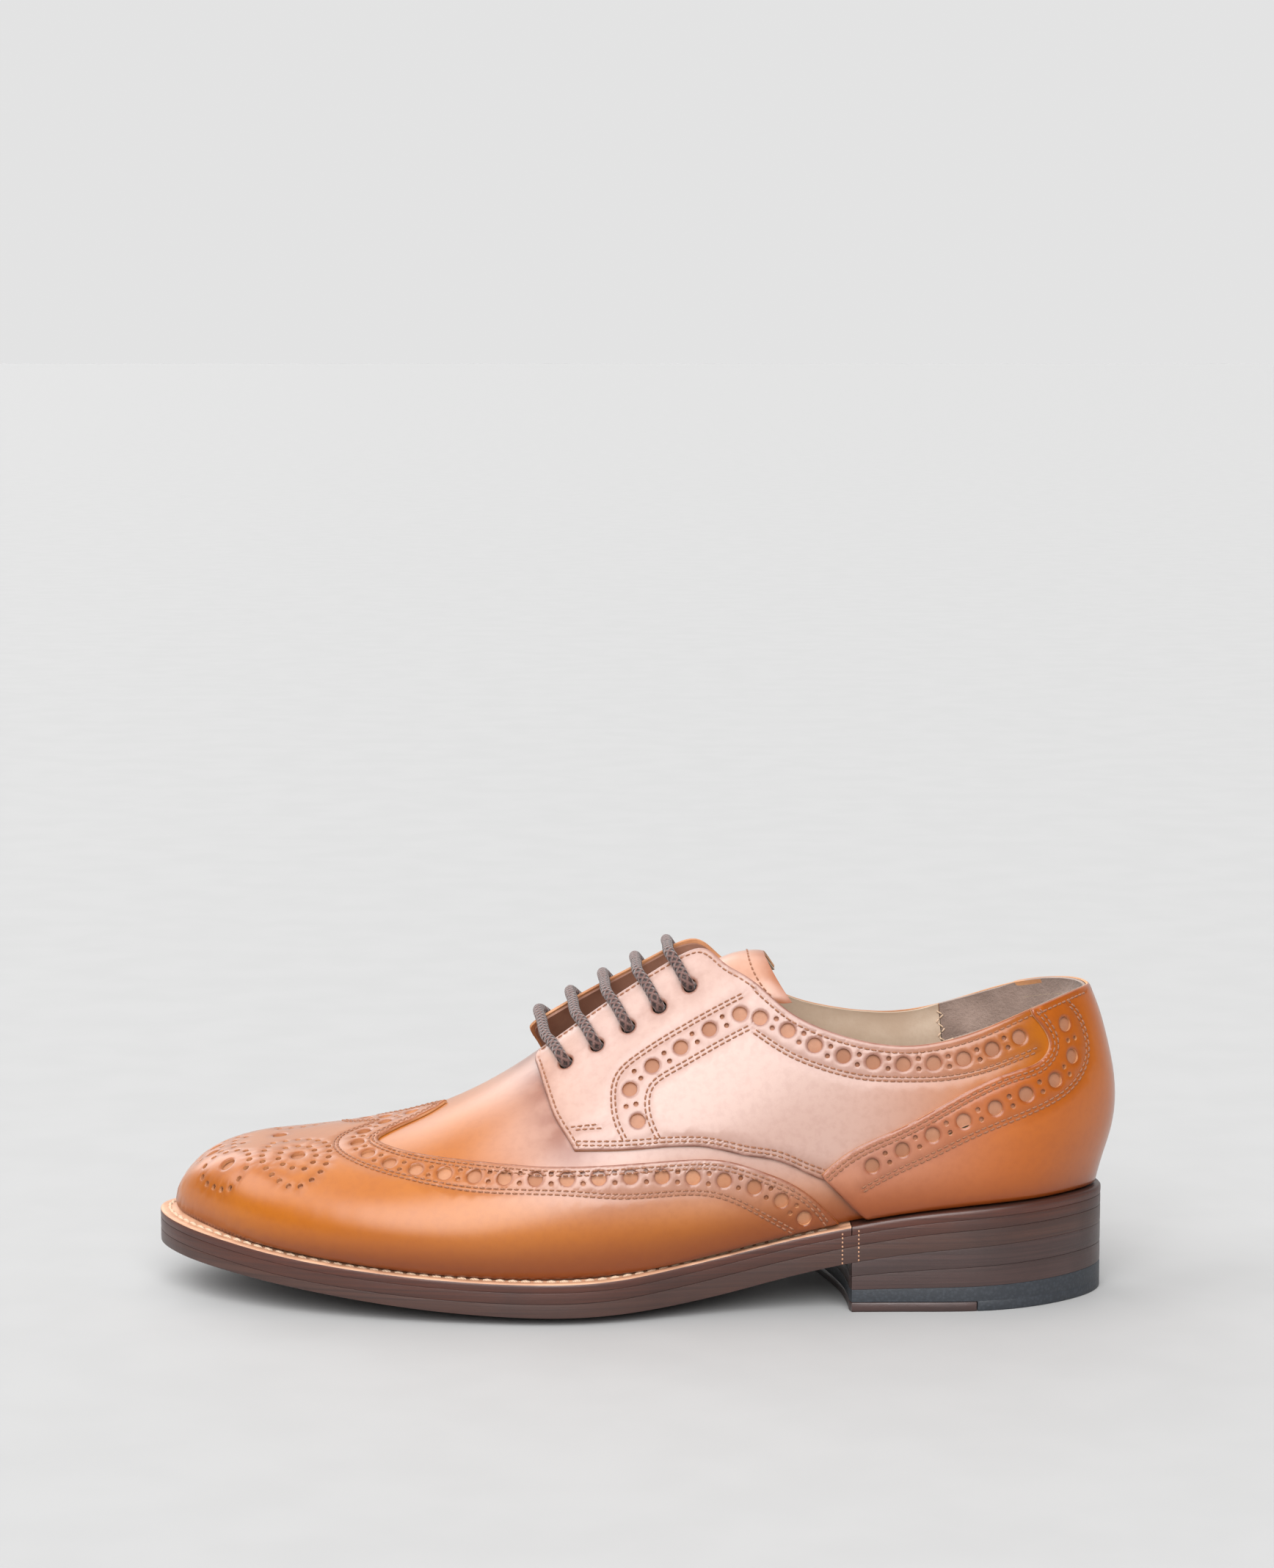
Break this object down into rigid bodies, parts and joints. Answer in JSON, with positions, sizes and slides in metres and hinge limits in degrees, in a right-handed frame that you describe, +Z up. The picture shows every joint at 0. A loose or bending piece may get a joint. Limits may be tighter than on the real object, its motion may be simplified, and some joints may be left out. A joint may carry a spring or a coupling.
{
  "type": "lace-up dress shoe",
  "caption": "Left men's derby shoe in tan leather with wing-tip brogue perforations, open lacing, welted leather sole and stacked heel.",
  "frame": {"origin": "centre of the bounding box in plan, on the floor under the shoe", "axes": "+X towards the heel, -Y the outer (lateral) side of the left shoe, +Z up"},
  "size_m": [0.3022, 0.103, 0.1104],
  "materials": {
    "tan_calf": "satin",
    "counter_calf": "satin",
    "lining_leather": "matte",
    "heel_suede": "matte",
    "welt_leather": "satin",
    "midsole_leather": "satin",
    "outsole_leather": "satin",
    "lift_leather": "satin",
    "rubber": "matte",
    "insole_leather": "matte",
    "cork": "matte",
    "fibreboard": "matte",
    "spring_steel": "satin",
    "brass": "satin",
    "brown_cotton": "matte",
    "brown_plastic": "gloss"
  },
  "bodies": {
    "root": {"wing_cap": "tan_calf", "vamp": "tan_calf", "quarter_lateral": "tan_calf", "quarter_medial": "tan_calf", "counter": "counter_calf", "vamp_lining": "lining_leather", "quarter_lining_lateral": "lining_leather", "quarter_lining_medial": "lining_leather", "heel_lining": "heel_suede", "toe_puff": "fibreboard", "heel_stiffener": "fibreboard", "sock_lining": "lining_leather", "insole": "insole_leather", "insole_rib": "fibreboard", "cork_filler": "cork", "shank": "spring_steel", "welt": "welt_leather", "heel_rand": "lift_leather", "midsole": "midsole_leather", "outsole": "outsole_leather", "heel_lift_1": "lift_leather", "heel_lift_2": "lift_leather", "top_piece_rubber": "rubber", "top_piece_insert": "lift_leather", "lace": "brown_cotton", "aglet_1": "brown_plastic", "aglet_2": "brown_plastic"},
    "lateral_facing": {"facing_lateral": "tan_calf", "facing_lining_lateral": "lining_leather", "eyelet_lateral_1": "brass", "eyelet_lateral_2": "brass", "eyelet_lateral_3": "brass", "eyelet_lateral_4": "brass", "eyelet_lateral_5": "brass"},
    "medial_facing": {"facing_medial": "tan_calf", "facing_lining_medial": "lining_leather", "eyelet_medial_1": "brass", "eyelet_medial_2": "brass", "eyelet_medial_3": "brass", "eyelet_medial_4": "brass", "eyelet_medial_5": "brass"},
    "tongue": {"tongue": "tan_calf", "tongue_lining": "lining_leather"}
  },
  "joints": [
    {"name": "lateral_facing_fold", "type": "hinge", "parent": "root", "child": "lateral_facing", "pos_m": [-0.02286, -0.0376, 0.05763], "axis": [0.7973, 0.1748, 0.5777], "range_deg": [0, 14], "stiffness_Nm_per_rad": 0.06, "deforming": ["lace"]},
    {"name": "medial_facing_fold", "type": "hinge", "parent": "root", "child": "medial_facing", "pos_m": [-0.02233, 0.03502, 0.05231], "axis": [-0.7942, 0.1644, -0.585], "range_deg": [0, 14], "stiffness_Nm_per_rad": 0.06, "deforming": ["lace"]},
    {"name": "tongue_flex", "type": "hinge", "parent": "root", "child": "tongue", "pos_m": [-0.037, -0.0002, 0.0655], "axis": [0, 1, 0], "range_deg": [0, 8], "stiffness_Nm_per_rad": 0.4}
  ]
}
